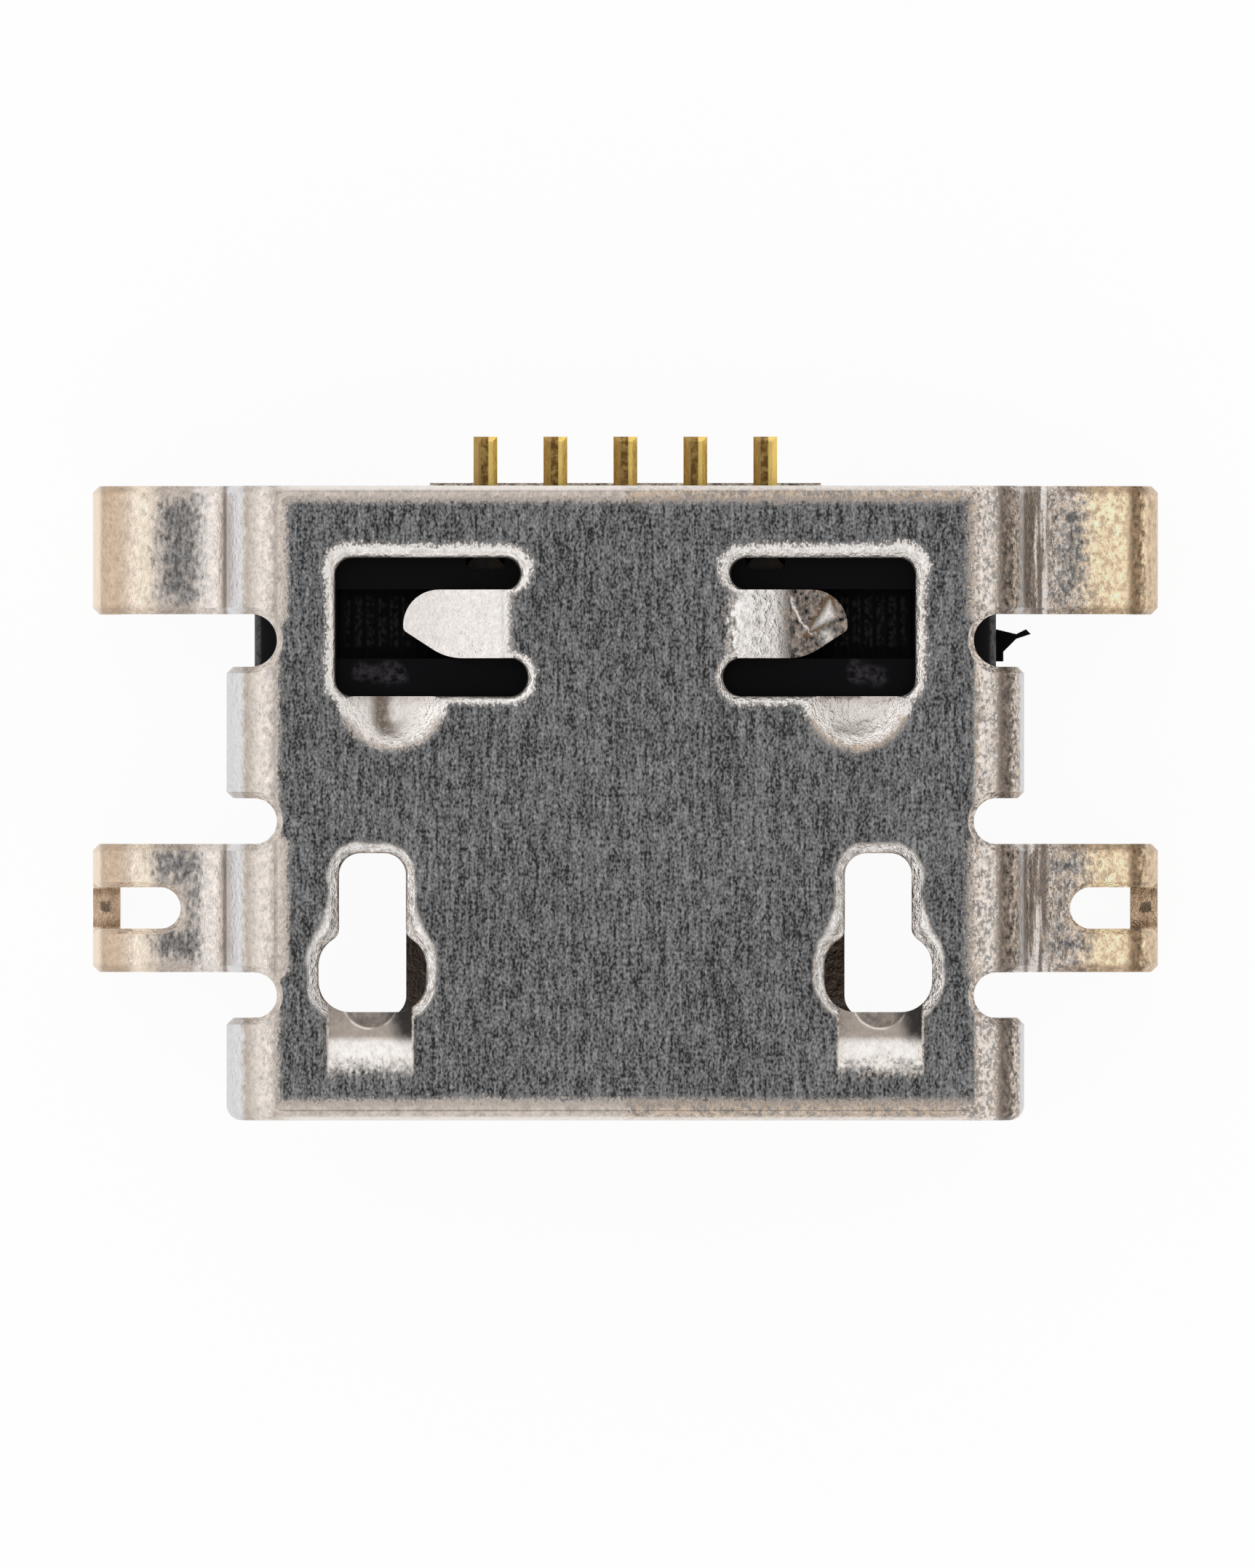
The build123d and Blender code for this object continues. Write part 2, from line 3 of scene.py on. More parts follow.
import bpy
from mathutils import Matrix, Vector


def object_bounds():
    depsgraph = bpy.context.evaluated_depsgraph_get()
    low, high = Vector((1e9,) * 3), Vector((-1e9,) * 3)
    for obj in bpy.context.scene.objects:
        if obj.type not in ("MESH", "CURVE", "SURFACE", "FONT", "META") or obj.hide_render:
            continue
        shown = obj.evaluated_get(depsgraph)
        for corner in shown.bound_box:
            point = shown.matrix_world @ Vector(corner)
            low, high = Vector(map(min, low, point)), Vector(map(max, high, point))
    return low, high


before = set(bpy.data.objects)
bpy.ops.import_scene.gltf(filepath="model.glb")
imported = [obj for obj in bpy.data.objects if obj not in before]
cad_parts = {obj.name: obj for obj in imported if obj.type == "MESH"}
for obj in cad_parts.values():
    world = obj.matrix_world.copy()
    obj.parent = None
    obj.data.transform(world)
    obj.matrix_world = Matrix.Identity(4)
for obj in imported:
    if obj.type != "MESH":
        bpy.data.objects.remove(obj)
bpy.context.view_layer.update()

# Lengths in the materials are in millimetres, with y counted from the edge of the mouth.
MM = 0.001
MOUTH_EDGE = -3.6325
SHELL_DEPTH = 5.89
TOP = 1.175

# Half width of the flat top, and the rolled bands at the mouth and at the rear
FLAT_HALF = 3.225
FRONT_BAND = 0.185
REAR_BAND = 0.14

# Rounded boxes as low corner, high corner and corner radius. Both halves of the shell have these.
KEYHOLE_WIDE = ((1.845, 1.005), (2.845, 1.725), 0.29)
KEYHOLE_NARROW = ((2.035, 1.4), (2.655, 2.48), 0.20)
WINDOW_FRONT = ((0.905, 3.935), (2.69, 4.29), 0.17)
WINDOW_REAR = ((0.975, 4.925), (2.69, 5.22), 0.14)
WINDOW_MIDDLE = ((1.12, 4.1), (2.69, 5.1), 0.02)
# The four patches below mark where the ears' flats get a painted dark reflection
REAR_PATCH = ((3.98, 4.83), (4.32, 5.74), 0.05)
UPPER_PATCH = ((3.99, 2.29), (4.30, 2.44), 0.06)
LOWER_PATCH = ((3.99, 1.56), (4.30, 1.72), 0.06)
MIDDLE_PATCH = ((3.95, 1.62), (4.09, 2.34), 0.03)
EAR_SLOT = ((4.66, 1.79), (5.10, 2.15), 0.01)
SLOT_MARK = ((4.80, 1.94), (4.88, 2.02), 0.02)

# Rounded boxes of one side: the fold in the left stake, and the scuffs on the housing
STAKE_FOLD = ((-2.262, 3.625), (-1.4, 4.6), 0.13)
LEFT_SCUFF = ((-2.50, 4.06), (-2.02, 4.23), 0.06)
RIGHT_SCUFF = ((2.08, 4.04), (2.44, 4.24), 0.06)

# Circles as centre and radius: a stake's bowl, and a scratch and a dim facet on the right latch
STAKE = ((2.15, 3.935), 0.46)
LATCH_SCRATCH = ((2.221, 5.027), 0.71)
LATCH_DIMPLE = ((1.87, 4.49), 0.06)

# Corners of a facet on the right latch, bright with a painted highlight
LATCH_GLINT = ((1.74, 4.57), (1.95, 4.67), (1.90, 4.82))

# Marks in the right stake as centre, angle, half length and half width: a faint smudge, and a
# painted shadow line at the window's edge
STAKE_SMUDGE = ((2.09, 3.63), 3.0, 0.11, 0.004)
STAKE_EDGE_SHADOW = ((2.0, 3.945), 0.0, 0.16, 0.006)

# Middles of the lances, of the front ears and of the rear ears
LANCE_X = 2.365
FRONT_EAR_Y = 1.97
REAR_EAR_Y = 5.295

# Pitch of the contacts, and of the ribs in the housing's pockets
PITCH = 0.65
RIB_PITCH = 0.11

# Noises as cells per millimetre along x, y and z, detail and roughness
STEEL_NOISES = {
    "streak": ((32.0, 9.0, 9.0), 2.0, 0.62),
    "brushing": ((30.0, 1.2, 1.2), 1.0, 0.5),
    "specks": ((46.0, 30.0, 46.0), 1.0, 0.5),
    "grain": ((34.0, 22.0, 22.0), 2.0, 0.6),
    "peel": ((15.0, 12.0, 15.0), 3.0, 0.7),
    "broad": ((2.6, 1.4, 1.4), 2.0, 0.5),
    "dents": ((5.0, 5.0, 0.0), 1.0, 0.5),
    "ear_streak": ((26.0, 11.0, 11.0), 3.0, 0.7),
    "root_lines": ((15.0, 1.0, 0.0), 2.0, 0.5),
    "slot_stripes": ((14.0, 1.5, 0.0), 1.0, 0.5),
}
PLASTIC_SKIN = ((18.0, 18.0, 18.0), 4.0, 0.65)
PLASTIC_BROAD = ((3.5, 3.5, 3.5), 3.0, 0.6)
GOLD_GRAIN = ((30.0, 9.0, 30.0), 3.0, 0.6)
GOLD_SPOTS = ((14.0, 14.0, 14.0), 3.0, 0.6)

# Colours, linear
DARK_REFLECTION_STEEL = (0.198, 0.198, 0.202)
BRIGHT_STEEL = (0.59, 0.530, 0.482)
PALE_STEEL = (0.86, 0.81, 0.765)
DULL_STEEL = (0.42, 0.365, 0.32)
COOL_REFLECTION_STEEL = (0.72, 0.71, 0.72)
HIGHLIGHT_STEEL = (0.98, 0.93, 0.89)
HIGHLIGHT_LINE = (1.0, 0.97, 0.94)
SHADED_STEEL = (0.19, 0.15, 0.122)
INNER_SHADE_STEEL = (0.055, 0.036, 0.026)
DARK_SPOT = (0.030, 0.027, 0.028)
WARM_EDGE = (0.62, 0.465, 0.33)
BRIGHT_GOLD = (0.98, 0.76, 0.51)
CREAM_EDGE = (1.0, 0.86, 0.71)
TAN_EDGE = (0.62, 0.47, 0.33)
BROWN_EDGE = (0.17, 0.10, 0.05)
BLACK_PLASTIC = (0.0022, 0.0018, 0.0026)
SCUFF_PLASTIC = (0.042, 0.038, 0.042)
SIDE_SHEEN_PLASTIC = (0.013, 0.0125, 0.014)
EDGE_LINE_PLASTIC = (0.095, 0.092, 0.097)
GOLD = (0.95, 0.68, 0.20)
BROWN_GOLD = (0.16, 0.085, 0.025)
MID_GOLD = (0.42, 0.27, 0.09)
WHITE = (1.0, 1.0, 1.0)
FLOOR_WHITE = (0.9, 0.9, 0.9)

# Smooth shading: points within this many millimetres are welded, and edges sharper than this
# many degrees stay sharp
WELD_GAP = 0.0005
SHARP_ANGLE = 30.0
NORMAL_WEIGHT = 90

# Floor, lamps and camera in metres. The lens, its sensor, the height of the frame at the shell's
# top and the place it aims at are in millimetres. A glow of 1 is white.
FLOOR_REACH = 0.6
FLOOR_GLOW = 0.94
OVERHEAD_GLOW = 0.62
RIGHT_GLOW = 0.80
LAMP_SIZE = 0.10
LAMPS = (
    ("lamp_left", (-0.10, 0.03, 0.06), 0.25),
    ("lamp_right", (0.10, -0.02, 0.06), 0.15),
)
SENSOR_WIDTH = 36.0
LENS = 1200.0
FRAME_HEIGHT = 14.54
AIM = (0.02, -0.5105)
CLIP_START = 0.001
CLIP_END = 10.0


class Field:
    """A number or a colour on a shader tree. Numbers can be used in sums."""

    def __init__(self, tree, socket):
        self.tree = tree
        self.socket = socket

    def math(self, operation, *others):
        node = self.tree.nodes.new("ShaderNodeMath")
        node.operation = operation
        for slot, value in zip(node.inputs, (self, *others)):
            put(self.tree, value, slot)
        return Field(self.tree, node.outputs[0])

    def __add__(self, other):
        return self.math("ADD", other)

    def __sub__(self, other):
        return self.math("SUBTRACT", other)

    def __mul__(self, other):
        return self.math("MULTIPLY", other)

    def abs(self):
        return self.math("ABSOLUTE")

    def invert(self):
        return self.math("MULTIPLY_ADD", -1.0, 1.0)

    def lower(self, *others):
        """The lowest of several values."""
        result = self
        for other in others:
            result = result.math("MINIMUM", other)
        return result

    def higher(self, *others):
        """The highest of several values."""
        result = self
        for other in others:
            result = result.math("MAXIMUM", other)
        return result

    def ramp(self, low, high, start=0.0, end=1.0):
        """Smooth step from start to end as the value goes from low to high."""
        node = self.tree.nodes.new("ShaderNodeMapRange")
        node.interpolation_type = "SMOOTHSTEP"
        settings = {"From Min": low, "From Max": high, "To Min": start, "To Max": end}
        for name, value in settings.items():
            node.inputs[name].default_value = value
        self.tree.links.new(self.socket, node.inputs["Value"])
        return Field(self.tree, node.outputs["Result"])

    def fall(self, low, high, start=1.0):
        """Smooth step from start down to zero as the value goes from low to high."""
        return self.ramp(low, high, start, 0.0)

    def band(self, low, high, soft=0.02):
        """One between low and high, with soft ends."""
        return self.ramp(low - soft, low + soft) * self.fall(high - soft, high + soft)


def put(tree, value, slot):
    """Links a field to a socket, or sets the socket to a plain value."""
    if isinstance(value, Field):
        tree.links.new(value.socket, slot)
    elif isinstance(value, tuple) and slot.type == "RGBA":
        slot.default_value = (*value, 1.0)
    else:
        slot.default_value = value


def mix(tree, share, first, second, blend="MIX"):
    """Colour mix of two colours by a field."""
    node = tree.nodes.new("ShaderNodeMix")
    node.data_type = "RGBA"
    node.blend_type = blend
    put(tree, share, node.inputs[0])
    put(tree, first, node.inputs[6])
    put(tree, second, node.inputs[7])
    return Field(tree, node.outputs[2])


def layered(tree, ground, *layers):
    """A ground colour under layers, each given as its share and its colour."""
    for share, colour in layers:
        ground = mix(tree, share, ground, colour)
    return ground


def tinted(tree, colour, field):
    """A colour made lighter and darker by a field around one."""
    node = tree.nodes.new("ShaderNodeCombineColor")
    for slot in node.inputs:
        put(tree, field, slot)
    return mix(tree, 1.0, colour, Field(tree, node.outputs[0]), "MULTIPLY")


def place_fields(tree):
    """Place in millimetres, with y from the mouth's edge."""
    coordinates = tree.nodes.new("ShaderNodeTexCoord")
    split = tree.nodes.new("ShaderNodeSeparateXYZ")
    tree.links.new(coordinates.outputs["Object"], split.inputs[0])
    x, y, z = (Field(tree, out) * (1 / MM) for out in split.outputs)
    return x, y - MOUTH_EDGE, z


def facing(tree, axis):
    """The surface's true normal along X, Y or Z."""
    geometry = tree.nodes.new("ShaderNodeNewGeometry")
    split = tree.nodes.new("ShaderNodeSeparateXYZ")
    tree.links.new(geometry.outputs["True Normal"], split.inputs[0])
    return Field(tree, split.outputs[axis])


def noise(tree, place, cells, detail, roughness):
    """Noise between about 0 and 1, with so many cells per millimetre along each axis."""
    scaled = tree.nodes.new("ShaderNodeCombineXYZ")
    for slot, value, count in zip(scaled.inputs, place, cells):
        put(tree, value * count if count else 0.0, slot)
    node = tree.nodes.new("ShaderNodeTexNoise")
    tree.links.new(scaled.outputs[0], node.inputs["Vector"])
    node.inputs["Scale"].default_value = 1.0
    node.inputs["Detail"].default_value = detail
    node.inputs["Roughness"].default_value = roughness
    return Field(tree, node.outputs[0])


def uneven(*parts):
    """Sum of noises around zero, each given as the noise and its height."""
    terms = [(source - 0.5) * height for source, height in parts]
    total = terms[0]
    for term in terms[1:]:
        total = total + term
    return total


def rounded_box(x, y, low, high, corner):
    """Distance outside a rounded rectangle from low to high, negative inside it."""
    half = [(b - a) / 2 - corner for a, b in zip(low, high)]
    middle = [(a + b) / 2 for a, b in zip(low, high)]
    across = (x - middle[0]).abs() - half[0]
    along = (y - middle[1]).abs() - half[1]
    beyond = across.higher(0.0).math("POWER", 2.0) + along.higher(0.0).math("POWER", 2.0)
    return beyond.math("SQRT") + across.higher(along).lower(0.0) - corner


def disc(x, y, centre, radius):
    """Distance outside a circle, negative inside it."""
    square = (x - centre[0]).math("POWER", 2.0) + (y - centre[1]).math("POWER", 2.0)
    return square.math("SQRT") - radius


def leaning_box(x, y, centre, angle, half_length, half_width):
    """Distance outside a rectangle that leans by an angle in degrees, negative inside it."""
    cos, sin = math.cos(math.radians(angle)), math.sin(math.radians(angle))
    along = (x - centre[0]) * cos + (y - centre[1]) * sin
    across = (y - centre[1]) * cos - (x - centre[0]) * sin
    return (along.abs() - half_length).higher(across.abs() - half_width)


def wedge(x, y, corners):
    """Distance outside a convex polygon whose corners run anticlockwise, negative inside it."""
    sides = []
    for (ax, ay), (bx, by) in zip(corners, corners[1:] + corners[:1]):
        length = math.hypot(bx - ax, by - ay)
        sides.append((x - ax) * ((by - ay) / length) - (y - ay) * ((bx - ax) / length))
    return sides[0].higher(*sides[1:])


def material(name):
    """A new material, its tree and its shader."""
    made = bpy.data.materials.new(name)
    made.use_nodes = True
    tree = made.node_tree
    return made, tree, tree.nodes["Principled BSDF"]


def bump(tree, shader, height, distance, strength):
    """Relief of a height times a distance in metres."""
    node = tree.nodes.new("ShaderNodeBump")
    put(tree, strength, node.inputs["Strength"])
    node.inputs["Distance"].default_value = distance
    put(tree, height, node.inputs["Height"])
    tree.links.new(node.outputs["Normal"], shader.inputs["Normal"])


class Steel:
    """Plated steel: brushed flats with a painted dark reflection, painted highlights on the rolled
    edges and bends, and golden ends on the ears.

    Each paint method lays one region over self.colour. Masks are fields between 0 and 1.
    """

    def __init__(self):
        self.made, self.tree, self.shader = material("plated_steel")
        place = place_fields(self.tree)
        self.side_x, self.y, self.z = place
        self.x = self.side_x.abs()
        self.nz = facing(self.tree, "Z")
        for name, settings in STEEL_NOISES.items():
            setattr(self, name, noise(self.tree, place, *settings))
        self.find_sides()
        self.find_openings()
        self.find_edges()
        self.find_dark_top()
        self.find_lances()
        self.paint_bends()
        self.paint_bands()
        self.paint_ear_roots()
        self.paint_ear_ends()
        self.paint_ear_slots()
        self.paint_lances()
        self.paint_rims()
        self.paint_stakes()
        self.paint_latches()
        self.paint_dark_flats()
        self.paint_inside()
        self.finish()

    def wobble(self, coarse, fine=0.0):
        """A ragged shift around zero, in millimetres."""
        if fine:
            return uneven((self.peel, coarse), (self.grain, fine))
        return uneven((self.peel, coarse))

    def flecked(self, colour, amount, level, least=None):
        """A colour that the flecks make lighter and darker around a level."""
        field = self.flecks * amount + level
        return tinted(self.tree, colour, field if least is None else field.higher(least))

    def paint(self, *layers):
        """Lays colours over the steel, each given as its share and its colour."""
        self.colour = layered(self.tree, self.colour, *layers)

    def find_sides(self):
        """Left and right, which blend into each other under the shell, and the plating's flecks."""
        low = self.z.fall(0.3, 0.6)
        sharp, soft = self.side_x.ramp(-0.05, 0.05), self.side_x.ramp(-2.5, 2.5)
        self.right = sharp * low.invert() + soft * low
        self.left = self.right.invert()
        self.calm = self.z.ramp(-0.2, 0.2, 0.45, 1.0)
        self.flecks = self.wobble(2.4, 1.2) * self.calm

    def find_openings(self):
        """Distances from the openings and the pressed forms."""
        x, y = self.x, self.y
        wide = rounded_box(x, y, *KEYHOLE_WIDE)
        narrow = rounded_box(x, y, *KEYHOLE_NARROW)
        self.teardrop = wide.math("SMOOTH_MIN", narrow, 0.42)
        self.window_front = rounded_box(x, y, *WINDOW_FRONT)
        self.window = self.window_front.lower(
            rounded_box(x, y, *WINDOW_REAR), rounded_box(x, y, *WINDOW_MIDDLE)
        )
        self.stake = disc(x, y, *STAKE)
        self.near = wide.lower(narrow).lower(self.window)
        self.at_keyhole = y.fall(2.9, 3.1)
        self.top = self.z.ramp(TOP - 0.012, TOP - 0.004)

    def find_edges(self):
        """Distance from the rims of the openings and from the rolled bands around the flat top."""
        x, y = self.x, self.y
        rear_side = y.ramp(4.9, 5.25)
        outer_side = x.ramp(2.3, 2.6)
        self.root_side = x.fall(1.10, 1.25) * y.band(4.32, 4.90, 0.03)
        keyhole_rim = self.teardrop - 0.075 - outer_side * 0.015 + uneven((self.dents, 0.06))
        window_rim = self.window - 0.055 - rear_side * 0.06 - outer_side * 0.02
        stake_rim = self.window_front.math("SMOOTH_MIN", self.stake, 0.12) - 0.035
        rims = keyhole_rim.lower(window_rim + self.root_side * 0.03, stake_rim)
        at_ears = y.band(1.32, 2.62, 0.06).higher(y.ramp(4.56, 4.68))
        flat_edge = at_ears * (self.right * -0.02 - 0.085) + self.right * 0.055 + FLAT_HALF
        rear_edge = y * -1.0 + (SHELL_DEPTH - REAR_BAND)
        self.edges = rims.lower((flat_edge - x).lower(y - FRONT_BAND, rear_edge))

    def find_dark_top(self):
        """Painted dark reflection on the brushed top, which fades out in flecks towards every
        rolled edge.
        """
        x, y, z, peel = self.x, self.y, self.z, self.peel
        rough = uneven((peel, 0.10), (self.grain, 0.10), (self.specks, 0.16), (self.broad, 0.05))
        self.lift = (x + self.wobble(0.30, 0.20) - self.left * 0.11).ramp(0.88, 1.08)
        self.lift = self.lift * y.band(4.31, 4.90, 0.05) * x.fall(1.40, 1.45) * z.ramp(0.5, 0.6)
        smooth_rim = self.teardrop.fall(0.12, 0.24) * self.at_keyhole
        outer_right = self.right * x.ramp(3.0, 3.2)
        self.fade = self.edges + rough * (smooth_rim * -0.7 + outer_right * 0.8 + 1.0)
        # Painted dark reflection on the flat top, away from the rims and the lifted latches
        self.dark_top_reflection = self.fade.ramp(-0.01, 0.04) * self.top * self.lift.invert()
        self.fringe = self.fade.band(-0.02, 0.02, 0.015) * self.top * peel.ramp(0.42, 0.62)

    def find_lances(self):
        """The spring lances, where their painted bright reflection starts, and the painted dark
        reflection on the foot in front of it.
        """
        y = self.y
        self.across = self.x - LANCE_X
        self.on_lance = self.across.abs().fall(0.385, 0.395) * y.band(0.25, 1.30, 0.01)
        self.on_lance = self.on_lance * self.z.ramp(0.55, 0.65)
        self.start = (y + self.wobble(0.36, 0.28)).ramp(0.34, 0.60)
        self.dark_foot_reflection = self.on_lance * self.start.invert() * y.fall(0.65, 0.75)

    def dark_ear_reflections(self):
        """Painted dark reflection in patches on the flat parts of the ears."""
        x, y = self.x, self.y
        small = rounded_box(x, y, *UPPER_PATCH).lower(rounded_box(x, y, *LOWER_PATCH)) - 0.06
        middle = rounded_box(x, y, *MIDDLE_PATCH) + 0.04
        patches = rounded_box(x, y, *REAR_PATCH).lower(small, middle) + self.right * 0.06
        ragged = patches * 1.8 + uneven((self.ear_streak, 1.1), (self.peel, 0.5)) - 0.02
        ear_top = self.z.band(0.235, 0.262, 0.01) * self.nz.ramp(0.9, 0.97)
        return ragged.fall(-0.26, 0.16) * ear_top * 0.80

    def paint_bends(self):
        """Bends along both sides, darker and rougher towards the right, with painted highlights,
        painted shade and a painted cool reflection.
        """
        x, left, right = self.x, self.left, self.right
        high = self.z.ramp(0.30, 0.45)
        self.colour = self.flecked(BRIGHT_STEEL, right * 0.80 + 0.55, right * -0.20 + 1.0, 0.55)
        tarnish = (self.specks + self.peel).ramp(0.92, 1.12) * (right * 0.60 + 0.16) * self.calm
        # Glints are painted highlights in white specks
        glints = (self.specks + self.grain).ramp(1.03, 1.14) * right
        glints = glints * x.ramp(3.05, 3.15) * self.z.ramp(0.1, 0.2)
        # Painted highlight along the crown of each bend, painted shade in the hollow beside it, a
        # painted cool reflection on the steep side, and painted shade on the right's steep side
        crown_highlight = (x + self.wobble(0.14)).band(3.29, 3.42, 0.04) * high
        hollow_shade = (x + self.wobble(0.08)).band(3.48, 3.535, 0.025) * high
        cool_reflection_left = (x + self.wobble(0.08)).ramp(3.52, 3.58) * x.fall(3.69, 3.73) * left
        cool_reflection_right = x.ramp(3.65, 3.67) * x.fall(3.71, 3.74) * right
        shade = (x + self.wobble(0.18, 0.10)).band(3.46, 3.60, 0.03) * right * high
        self.paint(
            (tarnish, WARM_EDGE),
            (crown_highlight * (left * 0.02 + 0.34), self.flecked(HIGHLIGHT_STEEL, right * 1.4 + 0.5, 1.0, 0.5)),
            (glints * 0.6, HIGHLIGHT_STEEL),
            (hollow_shade * 0.55, DULL_STEEL),
            (cool_reflection_left.higher(cool_reflection_right) * high, self.flecked(COOL_REFLECTION_STEEL, 0.12, 1.0)),
            (shade * 0.90, self.flecked(SHADED_STEEL, 1.6, 0.95)),
        )

    def paint_bands(self):
        """Rolled bands at the mouth and the rear: a painted white highlight at the edge, and
        painted shade next to the flat.
        """
        y = self.y
        edge = self.z.ramp(0.80, 0.90) * self.x.fall(3.0, 3.4)
        pale = y.fall(0.02, 0.05).higher(y.ramp(5.83, 5.87)) * edge
        dull = y.band(0.13, 0.19, 0.03).higher(y.band(5.70, 5.78, 0.02)) * edge
        self.paint((dull * 0.4, DULL_STEEL), (pale * 0.7, HIGHLIGHT_STEEL))

    def paint_ear_roots(self):
        """A crease at the foot of the shell's side in painted shade, and on the right fine lines of
        painted highlight and shade, and a dark root in painted shade.
        """
        x, y, right = self.x, self.y, self.right
        above = self.z.ramp(0.2, 0.3)
        crease = x.band(3.70, 3.735, 0.012) * above
        lines = self.root_lines + uneven((self.grain, 0.3))
        lined = x.band(3.73, 3.92, 0.03) * right
        root = (x + self.wobble(0.12)).band(3.50, 3.74, 0.03) * right * above
        root = root * y.band(1.38, 2.56, 0.01).higher(y.band(4.70, SHELL_DEPTH, 0.01))
        self.paint(
            (crease * 0.6, SHADED_STEEL),
            (lined * lines.ramp(0.38, 0.58) * 0.85, SHADED_STEEL),
            (lined * lines.fall(0.36, 0.48) * 0.8, HIGHLIGHT_STEEL),
            (root * 0.34, self.flecked(SHADED_STEEL, 3.0, 1.3)),
        )

    def paint_ear_ends(self):
        """Cream and brown on the left ears, and gold, tan and dark brown on the right ones, with
        painted highlights and painted shade.
        """
        x, left, right = self.x, self.left, self.right
        golden = x.ramp(4.52, 4.74) * left + (x + self.wobble(0.3)).ramp(4.12, 4.42) * right
        warm = mix(self.tree, right, WARM_EDGE, BRIGHT_GOLD)
        warm = self.flecked(warm, right * 0.80 + 0.30, right * 0.08 + 0.95, 0.72)
        ear_side = (self.y - FRONT_EAR_Y).abs().lower((self.y - REAR_EAR_Y).abs())
        edge_shade = ear_side.ramp(0.49, 0.56) * x.band(4.05, 4.95, 0.1) * self.z.ramp(-0.6, -0.5)
        brown = (x + self.wobble(0.14)).band(4.68, 4.81, 0.04) * right
        # On the left ears, the cream band on the bend and the pale band at the root are painted
        # highlights. Brown along every ear's long edges is painted shade.
        self.paint(
            (x.band(4.38, 4.62, 0.10) * left, self.flecked(CREAM_EDGE, 0.4, 0.97)),
            (x.band(3.76, 3.99, 0.04) * left * 0.45, self.flecked(HIGHLIGHT_STEEL, 0.4, 1.0)),
            (golden * 0.9, warm),
            (x.ramp(4.85, 4.90) * left * 0.8, CREAM_EDGE),
            (edge_shade * (right * 0.35 + 0.20), BROWN_EDGE),
            (x.ramp(4.80, 4.86) * right * 0.8, self.flecked(TAN_EDGE, 0.8, 1.05)),
            (brown * 0.85, self.flecked(BROWN_EDGE, 1.4, 1.0)),
        )

    def paint_ear_slots(self):
        """Floor of the slot in each front ear, with a dark mark in its middle."""
        x, y = self.x, self.y
        slot = rounded_box(x, y, *EAR_SLOT).fall(-0.01, 0.01)
        slot = slot * self.z.fall(-0.05, 0.0) * self.nz.ramp(0.5, 0.8)
        ends = (y - FRONT_EAR_Y).abs().ramp(0.07, 0.16)
        mark = rounded_box(x, y, *SLOT_MARK) + self.wobble(0.10)
        ledge = layered(
            self.tree,
            self.flecked(WARM_EDGE, 0.8, 1.15),
            (ends * 0.45, BROWN_EDGE),
            (self.slot_stripes.ramp(0.42, 0.58) * 0.25, BROWN_EDGE),
            (mark.fall(0.0, 0.03, 0.7), DARK_SPOT),
        )
        self.paint((slot, ledge))

    def paint_lances(self):
        """Lances: a painted bright reflection with a painted highlight along the ramp, a duller
        painted reflection at the free end, painted shade in the scoop under a painted highlight on
        its rim, and a painted dark reflection in its right corner.
        """
        y = self.y
        blade = mix(self.tree, y.ramp(0.70, 0.80), PALE_STEEL, DULL_STEEL)
        blade = mix(self.tree, y.band(0.58, 0.74, 0.05) * 0.7, blade, HIGHLIGHT_STEEL)
        scoop = disc(self.across, y, (0.0, 1.11), 0.25)
        scoop_rim = scoop.band(0.0, 0.016, 0.012) * self.dents.ramp(0.40, 0.55)
        handed = self.across * (self.right * 2.0 - 1.0)
        corner = (handed + (y - 0.85) * 0.30 + self.wobble(0.10, 0.06)).ramp(0.12, 0.32)
        corner = corner * (y + self.wobble(0.14)).ramp(0.66, 0.82)
        blade = layered(
            self.tree,
            self.flecked(blade, 0.3, 1.0),
            (scoop.fall(-0.02, 0.0) * 0.8, self.flecked(DULL_STEEL, 0.6, 0.7)),
            (scoop_rim, PALE_STEEL),
            (corner * 0.95, DARK_SPOT),
        )
        self.paint((self.on_lance * self.start, blade))

    def paint_rims(self):
        """Painted highlights on the rims at the openings, white at the inner edge, and painted
        shade in brown where a wall turns down.
        """
        near, at_keyhole = self.near, self.at_keyhole
        off_lance = self.on_lance.invert()
        rim_highlight = self.fade.fall(0.0, 0.03) * near.fall(0.16, 0.22)
        rim_highlight = rim_highlight * self.z.ramp(TOP - 0.12, TOP - 0.08) * off_lance
        seam = (self.teardrop + self.wobble(0.06)).band(0.0, 0.03, 0.015) * at_keyhole
        inner_line = near.band(0.0, 0.014, 0.008) * at_keyhole * self.broad.ramp(0.40, 0.55)
        # A painted highlight on each rim, whitest next to the opening, with painted shade in a thin
        # line along the keyhole's inner edge
        rim_colour = layered(
            self.tree,
            PALE_STEEL,
            (near.fall(0.02, 0.05), HIGHLIGHT_STEEL),
            (seam * 0.35, DULL_STEEL),
            (inner_line * 0.8, SHADED_STEEL),
            (self.fade.band(-0.05, -0.005, 0.012) * 0.8, HIGHLIGHT_LINE),
        )
        # Painted shade in brown where the rim's wall turns down
        wall = near.fall(0.0, 0.012) * near.ramp(-0.02, -0.008) * self.z.ramp(0.85, 0.90)
        wall = wall * self.root_side.invert() * off_lance
        self.paint(
            (rim_highlight * 0.92, self.flecked(rim_colour, at_keyhole * 0.5 + 0.35, 1.0)),
            (self.fringe * 0.35, BROWN_EDGE),
            (wall * 0.55, BROWN_EDGE),
        )

